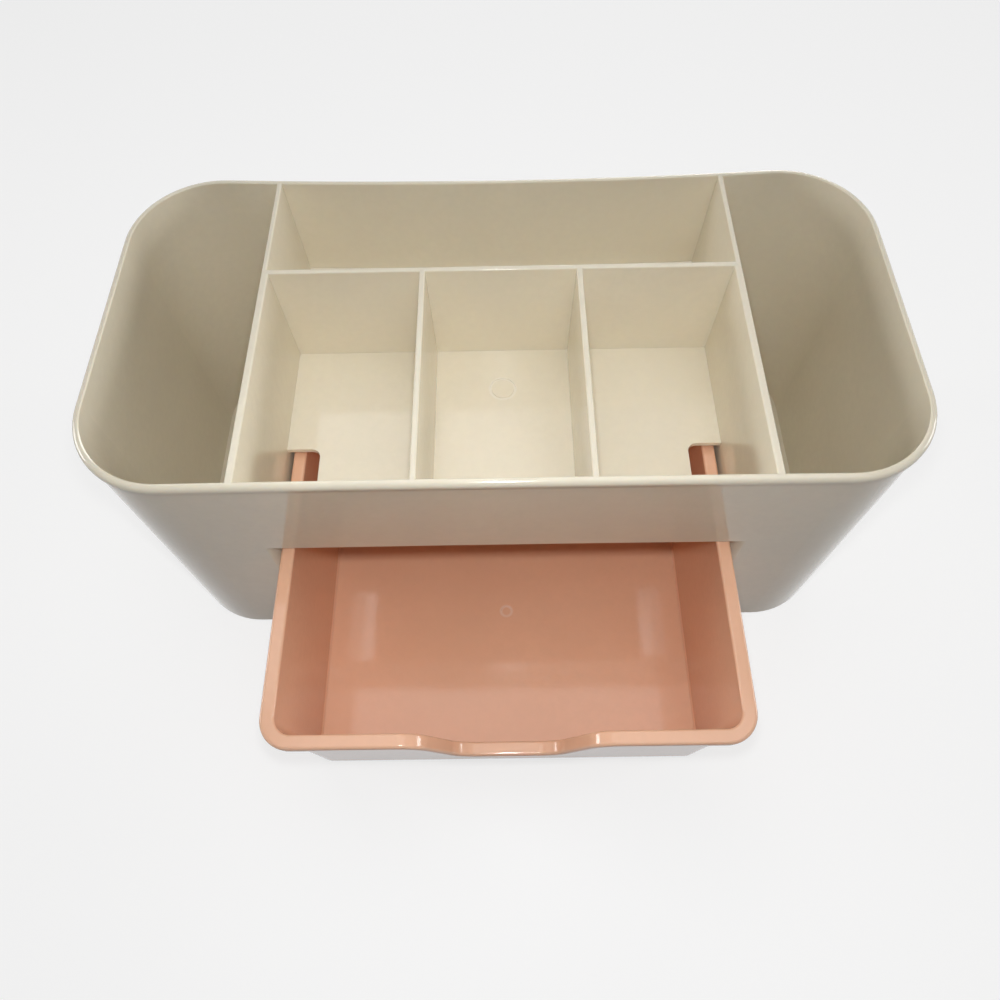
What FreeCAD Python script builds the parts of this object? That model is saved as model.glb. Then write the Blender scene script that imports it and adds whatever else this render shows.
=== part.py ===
import FreeCAD, Part
import math
import os

# Desktop make-up case: one moulded case with compartments, and one moulded drawer below them.
# Millimetres. +Z is up and +X runs along the length. The drawer opens towards -Y.
# The origin is the centre of the case's underside, on the surface that it stands on.

Vector = FreeCAD.Vector
os.makedirs("parts", exist_ok=True)

# ---- Case: outside ----
case_width = 220.0
case_depth = 109.7
case_height = 95.5
corner_radius = 25.5
back_bow = 2.3
front_bow = 0.25
wall_draft_deg = 0.5
wall_thickness = 1.3
base_thickness = 1.8
base_edge_bevel = 0.8
rim_overhang = 0.7
rim_height = 2.1
rim_outer_radius = 1.5
rim_inner_bevel = 0.3
well_floor_bevel = 1.6

# ---- Case: partitions and tray floor ----
main_divider_x = 66.8
main_divider_thickness = 2.0
rear_divider_thickness = 1.4
main_divider_draft_deg = 1.9
well_draft_deg = 0.5
cross_divider_y = 15.7
cross_divider_thickness = 1.6
tray_divider_x = 22.2
tray_divider_thickness = 1.6
tray_draft_deg = 1.3
divider_top_radius = 0.5
tray_depth = 34.5
tray_floor_thickness = 1.5
notch_width = 10.1
notch_back_y = -22.0
notch_corner_radius = 2.8
gate_ring_y = -0.9
gate_ring_radius = 4.0
gate_ring_width = 0.6
gate_mark_depth = 0.3

# ---- Drawer opening ----
mouth_radius = 3.6
mouth_edge_angle_deg = 15.0

# ---- Drawer ----
drawer_pulled_out = 45.8
drawer_front_overhang = 7.9
drawer_wall = 1.5
drawer_floor_thickness = 1.5
drawer_lip_width = 2.4
drawer_lip_thickness = 3.0
drawer_lip_corner_radius = 8.5
drawer_lip_edge_radius = 0.85
drawer_lip_under_bevel = 0.3
drawer_lip_inner_radius = 0.7
drawer_side_draft_deg = 0.15
drawer_end_draft_deg = 5.0
drawer_bottom_radius = 1.4
drawer_floor_bevel = 0.6
drawer_gate_radius = 1.8
scoop_depth = 21.0
scoop_half_width = 28.0
scoop_floor_half_width = 8.0
scoop_bend_radius = 8.0

# ---- Clearances of the drawer in its bay ----
drawer_side_clearance = 1.0
drawer_top_clearance = 2.1
drawer_under_clearance = 0.3
drawer_back_clearance = 0.5

# ---- Modelling ----
tool_overrun = 5.0
tolerance = 0.001

# ---- Derived sizes ----
wall_slope = math.tan(math.radians(wall_draft_deg))
main_slope = math.tan(math.radians(main_divider_draft_deg))
well_slope = math.tan(math.radians(well_draft_deg))
tray_slope = math.tan(math.radians(tray_draft_deg))
drawer_side_slope = math.tan(math.radians(drawer_side_draft_deg))
drawer_end_slope = math.tan(math.radians(drawer_end_draft_deg))

tray_floor_top = case_height - tray_depth
tray_floor_bottom = tray_floor_top - tray_floor_thickness
divider_in_top = main_divider_x - main_divider_thickness / 2
divider_out_top = main_divider_x + main_divider_thickness / 2
divider_in_floor = divider_in_top - main_slope * tray_depth
rear_in_top = divider_out_top - rear_divider_thickness
rear_in_floor = rear_in_top - main_slope * tray_depth
opening_top = tray_floor_bottom
bay_half_width = divider_in_floor
mouth_edge_step = mouth_radius * (1 - math.cos(math.radians(mouth_edge_angle_deg)))

drawer_top = opening_top - drawer_top_clearance
drawer_bottom = base_thickness + drawer_under_clearance
drawer_floor_top = drawer_bottom + drawer_floor_thickness
drawer_lip_half_width = bay_half_width - drawer_side_clearance
bay_back_y = (
    case_depth / 2 - rim_overhang - wall_slope * (case_height - drawer_bottom) - wall_thickness - back_bow
)
drawer_lip_back = bay_back_y - drawer_back_clearance - drawer_pulled_out
drawer_lip_front = -case_depth / 2 - drawer_front_overhang - drawer_pulled_out
drawer_middle_y = (drawer_lip_front + drawer_lip_back) / 2


# ---- Plan outlines ----
def long_side(half_width, edge_y, radius, bow):
    """Points of one long side from its left corner to its right one, for a side at +edge_y.

    The two corner arcs run on past the quarter turn, until they meet the inward arc on a tangent.
    """
    arm = half_width - radius
    centre_y = edge_y - radius
    if bow > 0:
        bow_radius = (arm * arm - 2 * radius * bow + bow * bow) / (2 * bow)
        turn = math.atan2(arm, bow_radius + radius - bow)
    else:
        turn = 0.0
    start = Vector(half_width, centre_y, 0)
    middle_angle = (math.pi / 2 + turn) / 2
    middle = Vector(arm + radius * math.cos(middle_angle), centre_y + radius * math.sin(middle_angle), 0)
    meet = Vector(arm - radius * math.sin(turn), centre_y + radius * math.cos(turn), 0)
    lowest = Vector(0, edge_y - bow, 0)
    return start, middle, meet, lowest


def outline(half_width, front_y, back_y, radius, z, front_bow_in=0.0, back_bow_in=0.0):
    """Closed outline at height z: straight ends, round corners, and long sides that may bow inwards."""
    edges = []
    corners = []
    for sign, edge_y, bow in ((1, back_y, back_bow_in), (-1, -front_y, front_bow_in)):
        start, middle, meet, lowest = long_side(half_width, edge_y, radius, bow)

        def place(point, side):
            return Vector(side * point.x, sign * point.y, z)

        right = Part.Arc(place(start, 1), place(middle, 1), place(meet, 1)).toShape()
        left = Part.Arc(place(meet, -1), place(middle, -1), place(start, -1)).toShape()
        if bow > 0:
            side = Part.Arc(place(meet, 1), place(lowest, 1), place(meet, -1)).toShape()
        else:
            side = Part.makeLine(place(meet, 1), place(meet, -1))
        edges += [right, side, left]
        corners.append((place(start, 1), place(start, -1)))
    edges.append(Part.makeLine(corners[0][0], corners[1][0]))
    edges.append(Part.makeLine(corners[0][1], corners[1][1]))
    return Part.Wire(Part.__sortEdges__(edges))


def case_outline(inset, z):
    """The case's plan outline, moved inwards by inset all round."""
    half_depth = case_depth / 2 - inset
    return outline(
        case_width / 2 - inset, -half_depth, half_depth, corner_radius - inset, z, front_bow, back_bow
    )


def wall_inset(z):
    """How far the case wall's outer face lies inside the rim's edge at height z."""
    return rim_overhang + wall_slope * (case_height - z)


def case_form(depth_in, low, high):
    """The closed form of the drafted wall, depth_in inside its outer face, from low to high."""
    sections = [case_outline(wall_inset(z) + depth_in, z) for z in (low, high)]
    return Part.makeLoft(sections, True, True)


# ---- Small helpers ----
def box(x_range, y_range, z_range):
    """A block between two limits on each axis."""
    size = [pair[1] - pair[0] for pair in (x_range, y_range, z_range)]
    return Part.makeBox(*size, Vector(x_range[0], y_range[0], z_range[0]))


def prism(points, direction):
    """A straight prism from a closed polygon."""
    return Part.Face(Part.makePolygon(points + points[:1])).extrude(direction)


def edges_where(shape, test):
    """The edges of a shape whose ends and middle points all pass a test."""
    return [edge for edge in shape.Edges if all(test(point) for point in edge.discretize(5))]


def edges_at_height(shape, z):
    """The edges of a shape that lie in the level plane at height z."""
    return edges_where(shape, lambda point: abs(point.z - z) < tolerance)


def edges_on(shape, *forms):
    """The edges of a shape that lie on the surface of every one of the forms."""
    surfaces = [form.Shells[0] for form in forms]

    def on_all(point):
        vertex = Part.Vertex(point)
        return all(vertex.distToShape(surface)[0] < tolerance for surface in surfaces)

    return edges_where(shape, on_all)


def mirrored(shape):
    """The same shape on the other side of the case's middle plane."""
    return shape.mirror(Vector(0, 0, 0), Vector(1, 0, 0))


# ---- Case shell: walls, rim bead, base and drawer opening ----
def cavity():
    """The whole space inside the case's wall, with the bevel of the rim's inner edge."""
    bevel_bottom = case_height - rim_inner_bevel
    space = case_form(wall_thickness, base_thickness, bevel_bottom)
    bevel_sections = [
        case_outline(wall_inset(bevel_bottom) + wall_thickness, bevel_bottom),
        case_outline(wall_inset(case_height) + wall_thickness - rim_inner_bevel, case_height),
    ]
    return space.fuse(Part.makeLoft(bevel_sections, True, True))


def between_wells():
    """The space between the outer faces of the two main dividers."""
    out_base = divider_out_top + well_slope * (case_height - base_thickness)
    points = [
        Vector(-divider_out_top, -case_depth, case_height),
        Vector(divider_out_top, -case_depth, case_height),
        Vector(out_base, -case_depth, base_thickness),
        Vector(-out_base, -case_depth, base_thickness),
    ]
    return prism(points, Vector(0, 2 * case_depth, 0))


def bay_mouth():
    """The drawer's way in through the front: its sides open out in large rounds to the front wall."""
    arm = case_width / 2 - corner_radius
    outer_x = bay_half_width + mouth_radius
    middle = mouth_radius * (1 - math.cos(math.pi / 4))

    def section(z):
        face_y = wall_inset(z) - case_depth / 2 + front_bow * (1 - (bay_half_width / arm) ** 2)
        edge_y = face_y - mouth_edge_step
        far_y = -case_depth
        right = [
            Vector(bay_half_width, 0, z),
            Vector(bay_half_width, edge_y + mouth_radius, z),
            Vector(bay_half_width + middle, edge_y + middle, z),
            Vector(outer_x, edge_y, z),
            Vector(outer_x, far_y, z),
        ]
        left = [Vector(-point.x, point.y, z) for point in right]
        edges = [Part.makeLine(left[0], right[0]), Part.makeLine(left[4], right[4])]
        for side in (left, right):
            edges.append(Part.makeLine(side[0], side[1]))
            edges.append(Part.Arc(side[1], side[2], side[3]).toShape())
            edges.append(Part.makeLine(side[3], side[4]))
        return Part.Wire(Part.__sortEdges__(edges))

    return Part.makeLoft([section(base_thickness), section(opening_top)], True, True)


def make_case_shell():
    outer = case_form(0, 0, case_height)
    outer = outer.makeChamfer(base_edge_bevel, edges_at_height(outer, 0))
    bead_sections = [case_outline(0, z) for z in (case_height - rim_height, case_height)]
    outer = outer.fuse(Part.makeLoft(bead_sections, True, True)).removeSplitter()
    outer = outer.makeFillet(rim_outer_radius, edges_at_height(outer, case_height))
    wells = cavity().cut(between_wells())
    wells = wells.makeChamfer(well_floor_bevel, edges_at_height(wells, base_thickness))
    shell = outer.cut(wells).cut(cavity().common(between_wells()))
    return shell.cut(bay_mouth()).removeSplitter()


# ---- Partitions between the compartments ----
def rounded_top(slab):
    """Round the two long edges at the top of a partition's slab."""
    top = edges_at_height(slab, case_height)
    longest = max(edge.Length for edge in top)
    return slab.makeFillet(divider_top_radius, [edge for edge in top if edge.Length > longest - tolerance])


def make_right_divider():
    """Full-height wall between the trays and a side well, thinner behind the cross divider."""
    out_base = divider_out_top + well_slope * (case_height - base_thickness)

    def slab(inner_line, y_range):
        line = [
            (divider_out_top, case_height),
            (out_base, base_thickness),
            (bay_half_width, base_thickness),
            (bay_half_width, tray_floor_top),
        ]
        points = [Vector(x, y_range[0], z) for x, z in line + inner_line]
        return rounded_top(prism(points, Vector(0, y_range[1] - y_range[0], 0)))

    front = slab([(divider_in_top, case_height)], (-case_depth / 2, cross_divider_y))
    rear_line = [(rear_in_floor, tray_floor_top), (rear_in_top, case_height)]
    rear = slab(rear_line, (cross_divider_y, case_depth / 2))
    return front.fuse(rear).common(cavity()).cut(bay_mouth()).removeSplitter()


def make_cross_divider(main_dividers):
    """Wall behind the three trays."""
    half_top = cross_divider_thickness / 2
    half_floor = half_top + tray_slope * tray_depth
    points = [
        Vector(-case_width / 2, cross_divider_y - half_top, case_height),
        Vector(-case_width / 2, cross_divider_y + half_top, case_height),
        Vector(-case_width / 2, cross_divider_y + half_floor, tray_floor_top),
        Vector(-case_width / 2, cross_divider_y - half_floor, tray_floor_top),
    ]
    slab = rounded_top(prism(points, Vector(case_width, 0, 0)))
    between = box(
        (-main_divider_x, main_divider_x), (-case_depth, case_depth), (tray_floor_top, case_height)
    )
    slab = slab.common(between)
    for divider in main_dividers:
        slab = slab.cut(divider)
    return slab


def make_right_tray_divider(cross_divider):
    """Wall between the middle tray and a side tray."""
    half_top = tray_divider_thickness / 2
    half_floor = half_top + tray_slope * tray_depth
    points = [
        Vector(tray_divider_x - half_top, -case_depth / 2, case_height),
        Vector(tray_divider_x + half_top, -case_depth / 2, case_height),
        Vector(tray_divider_x + half_floor, -case_depth / 2, tray_floor_top),
        Vector(tray_divider_x - half_floor, -case_depth / 2, tray_floor_top),
    ]
    slab = rounded_top(prism(points, Vector(0, case_depth / 2 + cross_divider_y, 0)))
    return slab.common(cavity()).cut(cross_divider)


def make_tray_floor():
    """Floor of the trays and the rear compartment, with a notch over each side of the drawer."""
    floor = box(
        (-bay_half_width, bay_half_width),
        (-case_depth, case_depth),
        (tray_floor_bottom, tray_floor_top),
    )
    notch_in = divider_in_floor - notch_width
    notch = box(
        (notch_in, case_width / 2),
        (-case_depth, notch_back_y),
        (tray_floor_bottom - tool_overrun, tray_floor_top + tool_overrun),
    )
    notch_corner = edges_where(
        notch,
        lambda point: abs(point.x - notch_in) < tolerance and abs(point.y - notch_back_y) < tolerance,
    )
    notch = notch.makeFillet(notch_corner_radius, notch_corner)
    ring_bottom = Vector(0, gate_ring_y, tray_floor_top - gate_mark_depth)
    ring = Part.makeCylinder(gate_ring_radius, tool_overrun, ring_bottom)
    ring = ring.cut(Part.makeCylinder(gate_ring_radius - gate_ring_width, tool_overrun, ring_bottom))
    return floor.common(cavity()).cut(notch).cut(mirrored(notch)).cut(ring)


# ---- Drawer: tray with a turned-out lip that dips at the finger scoop ----
def scoop_points(below):
    """Key points of the lip's dip to the right of its middle, below mm under the top surface.

    The line is a level, a bend, a slope, a bend back and the scoop's level floor. The bends stay
    concentric with those of the top surface, so that the lip keeps its thickness.
    """
    span = scoop_half_width - scoop_floor_half_width
    upper_radius = scoop_bend_radius - below
    lower_radius = scoop_bend_radius + below
    upper_centre = Vector(scoop_half_width, 0, drawer_top - scoop_bend_radius)
    lower_centre = Vector(scoop_floor_half_width, 0, drawer_top - scoop_depth + scoop_bend_radius)
    rise = scoop_depth - 2 * scoop_bend_radius
    distance = math.hypot(span, rise)
    slope = math.atan2(rise, span) + math.asin(2 * scoop_bend_radius / distance)

    def at(centre, radius, angle, sign):
        return centre + Vector(-sign * radius * math.sin(angle), 0, sign * radius * math.cos(angle))

    return [
        at(upper_centre, upper_radius, 0, 1),
        at(upper_centre, upper_radius, slope / 2, 1),
        at(upper_centre, upper_radius, slope, 1),
        at(lower_centre, lower_radius, slope, -1),
        at(lower_centre, lower_radius, slope / 2, -1),
        at(lower_centre, lower_radius, 0, -1),
    ]


def drawer_form(depth_in, low, high):
    """The closed form of the drawer's drafted wall, depth_in inside its outer face."""
    reach = case_width / 2

    def side_x(z):
        return drawer_lip_half_width - drawer_lip_width - depth_in - drawer_side_slope * (drawer_top - z)

    def end_in(z):
        return drawer_lip_width + depth_in + drawer_end_slope * (drawer_top - z)

    across = [(-side_x(low), low), (side_x(low), low), (side_x(high), high), (-side_x(high), high)]
    along = [
        (drawer_lip_front + end_in(low), low),
        (drawer_lip_back - end_in(low), low),
        (drawer_lip_back - end_in(high), high),
        (drawer_lip_front + end_in(high), high),
    ]
    sides = prism([Vector(x, -2 * reach, z) for x, z in across], Vector(0, 4 * reach, 0))
    ends = prism([Vector(-reach, y, z) for y, z in along], Vector(2 * reach, 0, 0))
    form = sides.common(ends)
    upright = [edge for edge in form.Edges if edge.BoundBox.ZLength > high - low - tolerance]
    return form.makeFillet(drawer_lip_corner_radius - drawer_lip_width - depth_in, upright)


def lip_line(below, y, half_reach):
    """Edges of the lip's line across the drawer's front, from left to right."""
    right = scoop_points(below)
    for point in right:
        point.y = y
    left = [Vector(-point.x, y, point.z) for point in right]
    height = drawer_top - below
    return [
        Part.makeLine(Vector(-half_reach, y, height), left[0]),
        Part.Arc(left[0], left[1], left[2]).toShape(),
        Part.makeLine(left[2], left[3]),
        Part.Arc(left[3], left[4], left[5]).toShape(),
        Part.makeLine(left[5], right[5]),
        Part.Arc(right[5], right[4], right[3]).toShape(),
        Part.makeLine(right[3], right[2]),
        Part.Arc(right[2], right[1], right[0]).toShape(),
        Part.makeLine(right[0], Vector(half_reach, y, height)),
    ]


def make_drawer():
    reach = case_width / 2
    front_y = drawer_lip_front - tool_overrun
    back_y = drawer_lip_back + tool_overrun
    front_run = Vector(0, drawer_middle_y - front_y, 0)

    def corners(z_top, z_low):
        return [
            Part.makeLine(Vector(reach, front_y, z_top), Vector(reach, front_y, z_low)),
            Part.makeLine(Vector(-reach, front_y, z_top), Vector(-reach, front_y, z_low)),
        ]

    band_edges = lip_line(0, front_y, reach) + lip_line(drawer_lip_thickness, front_y, reach)
    band_edges += corners(drawer_top, drawer_top - drawer_lip_thickness)
    band = Part.Face(Part.Wire(Part.__sortEdges__(band_edges))).extrude(front_run)
    band = band.fuse(
        box((-reach, reach), (drawer_middle_y, back_y), (drawer_top - drawer_lip_thickness, drawer_top))
    ).removeSplitter()

    above_z = drawer_top + tool_overrun
    above_edges = lip_line(0, front_y, reach) + corners(above_z, drawer_top)
    above_edges.append(Part.makeLine(Vector(-reach, front_y, above_z), Vector(reach, front_y, above_z)))
    above = Part.Face(Part.Wire(Part.__sortEdges__(above_edges))).extrude(front_run)
    above = above.fuse(box((-reach, reach), (drawer_middle_y, back_y), (drawer_top, above_z)))

    lip_form = drawer_form(-drawer_lip_width, drawer_bottom, above_z)
    outer = drawer_form(0, drawer_bottom, drawer_top)
    outer = outer.makeFillet(drawer_bottom_radius, edges_at_height(outer, drawer_bottom))
    inside = drawer_form(drawer_wall, drawer_floor_top, above_z)
    inside = inside.makeChamfer(drawer_floor_bevel, edges_at_height(inside, drawer_floor_top))
    drawer = outer.cut(above).fuse(lip_form.common(band)).removeSplitter().cut(inside)
    drawer = drawer.makeFillet(drawer_lip_edge_radius, edges_on(drawer, lip_form, above))
    drawer = drawer.makeFillet(drawer_lip_inner_radius, edges_on(drawer, inside, above))
    drawer = drawer.makeChamfer(drawer_lip_under_bevel, edges_on(drawer, lip_form, band))
    gate_bottom = Vector(0, drawer_middle_y, drawer_floor_top - gate_mark_depth)
    return drawer.cut(Part.makeCylinder(drawer_gate_radius, tool_overrun, gate_bottom))


right_divider = make_right_divider()
left_divider = mirrored(right_divider)
cross_divider = make_cross_divider([left_divider, right_divider])
right_tray_divider = make_right_tray_divider(cross_divider)
nodes = {
    "case_shell": make_case_shell(),
    "left_divider": left_divider,
    "right_divider": right_divider,
    "cross_divider": cross_divider,
    "left_tray_divider": mirrored(right_tray_divider),
    "right_tray_divider": right_tray_divider,
    "tray_floor": make_tray_floor(),
    "drawer": make_drawer(),
}
for name, shape in nodes.items():
    shape.exportStep("parts/" + name + ".step")
    bounds = shape.BoundBox
    print(
        name, shape.isValid(), len(shape.Solids), len(shape.Faces), round(shape.Volume, 1),
        [round(v, 2) for v in (bounds.XMin, bounds.XMax, bounds.YMin, bounds.YMax, bounds.ZMin, bounds.ZMax)],
    )
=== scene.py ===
"""Looks of a desktop make-up organizer: ivory case and peach drawer, in glossy moulded plastic.

Lengths are in metres. +Z is up, +X runs along the case, and the drawer opens towards -Y.
"""

import math

import bpy
from mathutils import Euler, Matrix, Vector


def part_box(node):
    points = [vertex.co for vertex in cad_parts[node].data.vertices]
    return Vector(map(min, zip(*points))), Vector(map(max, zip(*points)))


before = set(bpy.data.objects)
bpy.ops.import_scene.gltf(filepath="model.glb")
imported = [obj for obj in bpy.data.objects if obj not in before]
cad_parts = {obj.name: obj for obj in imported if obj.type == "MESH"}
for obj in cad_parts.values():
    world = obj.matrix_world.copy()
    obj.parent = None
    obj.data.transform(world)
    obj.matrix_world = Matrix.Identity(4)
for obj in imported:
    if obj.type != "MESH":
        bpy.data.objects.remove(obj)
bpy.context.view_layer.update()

# ---- View: a hand-held camera in front of the case, looking down into it ----
CAMERA_PLACE = (0.0002, -0.1474, 0.2591)
CAMERA_TURN_DEG = (28.41, 0.77, -0.62)
CAMERA_LENS_MM = 28.26
SENSOR_MM = 36.0
CAMERA_CLIP_START = 0.01

# ---- Light: a small softbox beside the lens, a long one overhead, low fills behind and beside ----
# The fills' narrow spread keeps them off the floor.
CASE_MIDDLE = (0.0, 0.0, 0.05)
OPEN_SPREAD_DEG = 180.0
FILL_SPREAD_DEG = 60.0
LAMPS = {
    "lens_softbox": dict(
        place=(0.0, -0.134, 0.262),
        aim=(0.0, -0.030, 0.050),
        size=(0.012, 0.012),
        watts=0.23,
        spread_deg=OPEN_SPREAD_DEG,
    ),
    "ceiling_softbox": dict(
        place=(0.06, 0.04, 1.05),
        aim=CASE_MIDDLE,
        size=(1.6, 0.6),
        watts=3.8,
        spread_deg=OPEN_SPREAD_DEG,
    ),
    "back_softbox": dict(
        place=(0.30, 1.10, 0.28),
        aim=CASE_MIDDLE,
        size=(0.8, 0.4),
        watts=0.65,
        spread_deg=FILL_SPREAD_DEG,
    ),
    "left_softbox": dict(
        place=(-1.00, 0.12, 0.28),
        aim=CASE_MIDDLE,
        size=(0.3, 0.3),
        watts=0.32,
        spread_deg=FILL_SPREAD_DEG,
    ),
    "right_softbox": dict(
        place=(1.00, 0.12, 0.28),
        aim=CASE_MIDDLE,
        size=(0.3, 0.3),
        watts=0.29,
        spread_deg=FILL_SPREAD_DEG,
    ),
}
ROOM_COLOR = (1.0, 1.0, 1.0)
ROOM_STRENGTH = 0.05
ROOM_WHITE = 0.76

# ---- Floor: dark where its light would bounce onto the object, white as the background ----
FLOOR_SIZE = 20.0
FLOOR_PAINT = (0.20, 0.17, 0.15)
FLOOR_WHITE = (0.95, 0.95, 0.95)
FLOOR_GLOW_SHARE = 0.73
FLOOR_ROUGHNESS = 0.9
FLOOR_SPECULAR = 0.1

# ---- Plastics ----
IVORY = (0.86, 0.79, 0.64)
IVORY_ROUGHNESS = 0.10
PEACH = (0.86, 0.50, 0.33)
PEACH_ROUGHNESS = 0.08
PLASTIC_IOR = 1.49
GLOW_WEIGHT = 0.15
GLOW_RADIUS = (1.0, 0.7, 0.45)
GLOW_SCALE = 0.002

# A noise is its scale and its detail. A range is the low and the high end of a value.
CLOUD_NOISE = (28.0, 3.0)
CLOUD_RANGE = (0.3, 0.7)
CLOUD_SHADES = (0.965, 1.02)
SPECK_NOISE = (420.0, 2.0)
SPECK_RANGE = (0.35, 0.65)
SPECK_SHARE = 0.35
SPECK_SHADE = 0.94
GLOSS_NOISE = (90.0, 4.0)
GLOSS_SHARES = (0.7, 1.4)
PEEL_NOISE = (900.0, 2.0)
PEEL_STRENGTH = 0.16
PEEL_DISTANCE = 0.0001
WAVE_NOISE = (22.0, 1.0)
WAVE_STRENGTH = 0.3
WAVE_DISTANCE = 0.0006

# ---- Moulding marks: a ring on the centre tray's floor and a dot on the drawer's floor, their edges lightened in colour as part real gate blush, part painted highlight ----
TRAY_GATE = ((0.0, -0.0009), 0.0039)
DRAWER_GATE_RADIUS = 0.0018
GATE_HALF_WIDTH = 0.0007
GATE_BLUSH_AND_HIGHLIGHT_SHARE = 0.55
GATE_BLUSH_AND_HIGHLIGHT_LIFT = 0.5


def nodes_of(name):
    """A new node material with its tree and its Principled shader."""
    material = bpy.data.materials.new(name)
    material.use_nodes = True
    tree = material.node_tree
    return material, tree, tree.nodes["Principled BSDF"]


def moulded_plastic(name, color, roughness, gate=None):
    """Glossy moulded plastic: mottled colour, uneven gloss, fine orange peel and moulding waves.

    gate is the place and radius of a moulding mark, whose edge is lightened in the colour: partly
    real gate blush, partly a painted highlight of the ring catching the light.
    """
    material, tree, shader = nodes_of(name)
    new, link = tree.nodes.new, tree.links.new
    coordinates = new("ShaderNodeTexCoord").outputs["Object"]

    def noise(kind):
        node = new("ShaderNodeTexNoise")
        node.inputs["Scale"].default_value, node.inputs["Detail"].default_value = kind
        link(coordinates, node.inputs["Vector"])
        return node.outputs["Fac"]

    def ranged(value, ends, to_ends):
        """The value, stretched from its own two ends to two others."""
        node = new("ShaderNodeMapRange")
        names = ("From Min", "From Max", "To Min", "To Max")
        for socket, end in zip(names, (*ends, *to_ends)):
            node.inputs[socket].default_value = end
        link(value, node.inputs["Value"])
        return node.outputs["Result"]

    def math_of(operation, value, number=0.0):
        node = new("ShaderNodeMath")
        node.operation = operation
        link(value, node.inputs[0])
        node.inputs[1].default_value = number
        return node.outputs["Value"]

    def band(value, middle, half_width):
        """1 where the value is at the middle, falling to 0 at half_width from it."""
        distance = math_of("ABSOLUTE", math_of("SUBTRACT", value, middle))
        return ranged(distance, (0.0, half_width), (1.0, 0.0))

    def mixed(share, first, second):
        """A mix of two colours, each of them a plain colour or a socket."""
        node = new("ShaderNodeMix")
        node.data_type = "RGBA"
        link(share, node.inputs["Factor"])
        for socket, value in (("A", first), ("B", second)):
            if isinstance(value, tuple):
                node.inputs[socket].default_value = (*value, 1)
            else:
                link(value, node.inputs[socket])
        return node.outputs["Result"]

    def shaded(share):
        return tuple(min(1.0, c * share) for c in color)

    def bumped(height, strength, distance):
        node = new("ShaderNodeBump")
        node.inputs["Strength"].default_value = strength
        node.inputs["Distance"].default_value = distance
        link(height, node.inputs["Height"])
        return node

    clouds = ranged(noise(CLOUD_NOISE), CLOUD_RANGE, (0.0, 1.0))
    specks = ranged(noise(SPECK_NOISE), SPECK_RANGE, (0.0, SPECK_SHARE))
    dull, light = (shaded(share) for share in CLOUD_SHADES)
    tone = mixed(specks, mixed(clouds, dull, light), shaded(SPECK_SHADE))

    if gate:
        place, radius = gate
        flat = new("ShaderNodeVectorMath")
        flat.operation = "MULTIPLY"
        flat.inputs[1].default_value = (1, 1, 0)
        link(coordinates, flat.inputs[0])
        reach = new("ShaderNodeVectorMath")
        reach.operation = "DISTANCE"
        reach.inputs[1].default_value = (*place, 0)
        link(flat.outputs["Vector"], reach.inputs[0])
        # Painted highlight, partly real gate blush: the gate's ring edge is lightened in the base
        # colour, where the ring catches the light.
        blush_and_highlight_ring = band(reach.outputs["Value"], radius, GATE_HALF_WIDTH)
        blush_and_highlight_tone = tuple(1 - (1 - c) * GATE_BLUSH_AND_HIGHLIGHT_LIFT for c in color)
        tone = mixed(math_of("MULTIPLY", blush_and_highlight_ring, GATE_BLUSH_AND_HIGHLIGHT_SHARE), tone, blush_and_highlight_tone)
    link(tone, shader.inputs["Base Color"])

    gloss_ends = [roughness * share for share in GLOSS_SHARES]
    gloss = ranged(noise(GLOSS_NOISE), (0.0, 1.0), gloss_ends)
    link(gloss, shader.inputs["Roughness"])

    peel = bumped(noise(PEEL_NOISE), PEEL_STRENGTH, PEEL_DISTANCE)
    waves = bumped(noise(WAVE_NOISE), WAVE_STRENGTH, WAVE_DISTANCE)
    link(peel.outputs["Normal"], waves.inputs["Normal"])
    link(waves.outputs["Normal"], shader.inputs["Normal"])

    shader.inputs["IOR"].default_value = PLASTIC_IOR
    shader.inputs["Subsurface Weight"].default_value = GLOW_WEIGHT
    shader.inputs["Subsurface Radius"].default_value = GLOW_RADIUS
    shader.inputs["Subsurface Scale"].default_value = GLOW_SCALE
    return material


def dress(node, material):
    """Gives a CAD node its material."""
    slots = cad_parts[node].data.materials
    slots.clear()
    slots.append(material)


def background_rays(tree):
    """1 for rays that show the background: from the camera, in gloss, and through glass."""
    new, link = tree.nodes.new, tree.links.new
    rays = new("ShaderNodeLightPath")
    seen = rays.outputs["Is Camera Ray"]
    for kind in ("Is Glossy Ray", "Is Transmission Ray"):
        either = new("ShaderNodeMath")
        either.operation = "MAXIMUM"
        link(seen, either.inputs[0])
        link(rays.outputs[kind], either.inputs[1])
        seen = either.outputs["Value"]
    return seen


def make_floor():
    """A plain floor, white to the camera and in gloss, that keeps the object's soft shadow."""
    bpy.ops.mesh.primitive_plane_add(size=FLOOR_SIZE)
    floor = bpy.context.object
    floor.name = "floor"
    material, tree, shader = nodes_of("floor_paint")
    new, link = tree.nodes.new, tree.links.new
    seen = background_rays(tree)

    paint = new("ShaderNodeMix")
    paint.data_type = "RGBA"
    paint.inputs["A"].default_value = (*FLOOR_PAINT, 1)
    paint.inputs["B"].default_value = (*FLOOR_WHITE, 1)
    link(seen, paint.inputs["Factor"])
    link(paint.outputs["Result"], shader.inputs["Base Color"])
    shader.inputs["Roughness"].default_value = FLOOR_ROUGHNESS
    shader.inputs["Specular IOR Level"].default_value = FLOOR_SPECULAR

    glow = new("ShaderNodeEmission")
    share = new("ShaderNodeMath")
    share.operation = "MULTIPLY"
    share.inputs[1].default_value = FLOOR_GLOW_SHARE
    link(seen, share.inputs[0])
    mix = new("ShaderNodeMixShader")
    link(share.outputs["Value"], mix.inputs["Fac"])
    link(shader.outputs["BSDF"], mix.inputs[1])
    link(glow.outputs["Emission"], mix.inputs[2])
    link(mix.outputs["Shader"], tree.nodes["Material Output"].inputs["Surface"])
    floor.data.materials.append(material)


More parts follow.
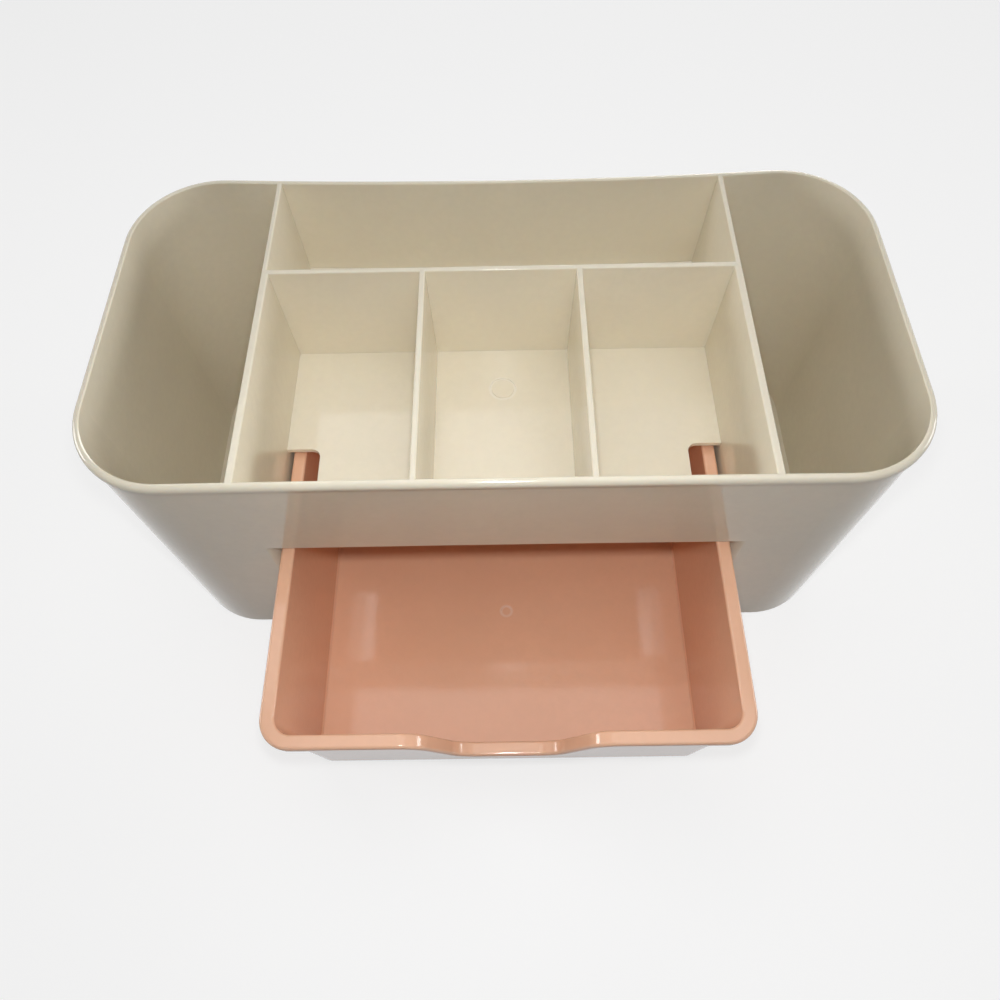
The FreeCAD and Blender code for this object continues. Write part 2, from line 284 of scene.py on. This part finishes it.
def make_lamp(name, place, aim, size, watts, spread_deg):
    """A rectangular softbox at a place, turned towards its aim."""
    lamp = bpy.data.lights.new(name, "AREA")
    lamp.shape = "RECTANGLE"
    lamp.size, lamp.size_y = size
    lamp.energy = watts
    lamp.spread = math.radians(spread_deg)
    thing = bpy.data.objects.new(name, lamp)
    thing.location = place
    thing.rotation_euler = (Vector(aim) - Vector(place)).to_track_quat("-Z", "Y").to_euler()
    bpy.context.scene.collection.objects.link(thing)


def make_room():
    """A dim even room, whose walls look as pale as the floor."""
    world = bpy.data.worlds.new("room")
    world.use_nodes = True
    tree = world.node_tree
    background = tree.nodes["Background"]
    background.inputs["Color"].default_value = (*ROOM_COLOR, 1)
    strength = tree.nodes.new("ShaderNodeMapRange")
    strength.inputs["To Min"].default_value = ROOM_STRENGTH
    strength.inputs["To Max"].default_value = ROOM_WHITE
    tree.links.new(background_rays(tree), strength.inputs["Value"])
    tree.links.new(strength.outputs["Result"], background.inputs["Strength"])
    bpy.context.scene.world = world


def make_camera():
    data = bpy.data.cameras.new("camera")
    data.lens = CAMERA_LENS_MM
    data.sensor_width = SENSOR_MM
    data.clip_start = CAMERA_CLIP_START
    camera = bpy.data.objects.new("camera", data)
    camera.location = CAMERA_PLACE
    camera.rotation_euler = Euler([math.radians(a) for a in CAMERA_TURN_DEG], "XYZ")
    bpy.context.scene.collection.objects.link(camera)
    bpy.context.scene.camera = camera


low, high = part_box("drawer")
drawer_gate = ((0.0, (low[1] + high[1]) / 2), DRAWER_GATE_RADIUS)
ivory = moulded_plastic("ivory_plastic", IVORY, IVORY_ROUGHNESS)
gate_blush_and_highlight_ivory = moulded_plastic("ivory_plastic_gate_blush_and_highlight", IVORY, IVORY_ROUGHNESS, TRAY_GATE)
peach = moulded_plastic("peach_plastic", PEACH, PEACH_ROUGHNESS, drawer_gate)
materials = {"drawer": peach, "tray_floor": gate_blush_and_highlight_ivory}
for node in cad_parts:
    dress(node, materials.get(node, ivory))

make_floor()
for lamp_name, lamp in LAMPS.items():
    make_lamp(lamp_name, **lamp)
make_room()
make_camera()
bpy.context.scene.view_settings.view_transform = "Standard"
